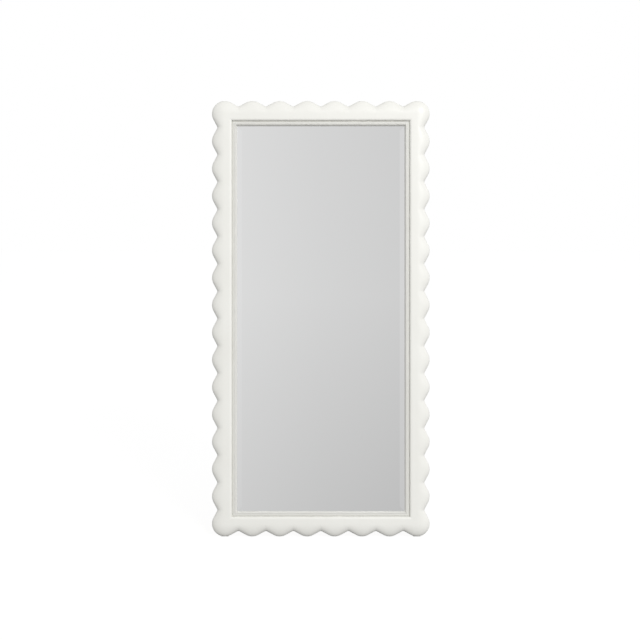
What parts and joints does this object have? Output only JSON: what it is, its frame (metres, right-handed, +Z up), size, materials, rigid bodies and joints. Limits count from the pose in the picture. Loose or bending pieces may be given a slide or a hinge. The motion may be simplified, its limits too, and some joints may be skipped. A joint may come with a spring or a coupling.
{
  "type": "leaning floor mirror with folding easel leg",
  "caption": "Tall mirror with a puffy scalloped frame, stepped liner and bevelled glass, leaning back on a hinged easel leg held by sliding stays.",
  "frame": {"origin": "on the floor, under the middle of the whole part's width and depth at rest", "axes": "+Z up, -Y towards the viewer that the glass faces, +X to that viewer's right"},
  "size_m": [0.9144, 0.4114, 1.8181],
  "materials": {
    "ivory_paint": "satin ivory paint on carved moulding",
    "mirror_glass": "polished silvered glass with a ground bevel",
    "film": "matt safety film",
    "foam": "closed cell foam",
    "hardboard": "smooth hardboard",
    "timber": "planed pine, clear lacquer",
    "zinc_steel": "zinc plated",
    "rubber": "matt black",
    "felt": "pale wool felt",
    "brass": "turned"
  },
  "bodies": {
    "mirror": {"frame_left_stile": "ivory_paint", "frame_right_stile": "ivory_paint", "frame_top_rail": "ivory_paint", "frame_bottom_rail": "ivory_paint", "liner_left": "ivory_paint", "liner_right": "ivory_paint", "liner_top": "ivory_paint", "liner_bottom": "ivory_paint", "mirror_glass": "mirror_glass", "safety_film": "film", "foam_sheet": "foam", "back_panel": "hardboard", "batten_left": "timber", "batten_right": "timber", "batten_top": "timber", "batten_bottom": "timber", "upper_cross_rail": "timber", "lower_cross_rail": "timber", "corner_braces": "zinc_steel", "corner_brace_screws": "zinc_steel", "joint_plates": "zinc_steel", "joint_plate_screws": "zinc_steel", "foot_blocks": "timber", "foot_block_screws": "zinc_steel", "foot_block_pads": "felt", "pivot_brackets": "zinc_steel", "pivot_bolts": "zinc_steel", "pivot_washers": "zinc_steel", "pivot_nuts": "zinc_steel", "slot_brackets": "zinc_steel", "bracket_screws": "zinc_steel", "leg_bumpers": "rubber", "hanger_straps": "zinc_steel", "hanger_screws": "zinc_steel"},
    "easel_leg": {"leg_left_stile": "timber", "leg_right_stile": "timber", "leg_top_rail": "timber", "leg_middle_rail": "timber", "leg_bottom_rail": "timber", "leg_rail_screws": "zinc_steel", "leg_bushes": "brass", "leg_feet": "rubber", "stay_bolts": "zinc_steel", "stay_washers": "zinc_steel", "stay_nuts": "zinc_steel"},
    "stay_left_arm": {"stay_left": "zinc_steel", "slide_pin_left": "zinc_steel"},
    "stay_right_arm": {"stay_right": "zinc_steel", "slide_pin_right": "zinc_steel"},
    "ring_left": {"hanger_ring_left": "zinc_steel"},
    "ring_right": {"hanger_ring_right": "zinc_steel"}
  },
  "joints": [
    {"name": "leg_fold", "type": "hinge", "parent": "mirror", "child": "easel_leg", "pos_m": [0, 0.01459, 1.28767], "axis": [1, 0, 0], "range_deg": [-15, 0]},
    {"name": "stay_left_fold", "type": "hinge", "parent": "easel_leg", "child": "stay_left_arm", "pos_m": [0, 0.06748, 0.91136], "axis": [1, 0, 0], "range_deg": [0, 30]},
    {"name": "stay_right_fold", "type": "hinge", "parent": "easel_leg", "child": "stay_right_arm", "pos_m": [0, 0.06748, 0.91136], "axis": [1, 0, 0], "range_deg": [0, 30]},
    {"name": "ring_left_swing", "type": "hinge", "parent": "mirror", "child": "ring_left", "pos_m": [-0.3822, 0.03409, 1.49982], "axis": [1, 0, 0], "range_deg": [-7, 165]},
    {"name": "ring_right_swing", "type": "hinge", "parent": "mirror", "child": "ring_right", "pos_m": [0.3822, 0.03409, 1.49982], "axis": [1, 0, 0], "range_deg": [-7, 165]}
  ],
  "couplings": [
    {"joint": "stay_left_fold", "follows": "leg_fold", "ratio": -2},
    {"joint": "stay_right_fold", "follows": "leg_fold", "ratio": -2}
  ]
}
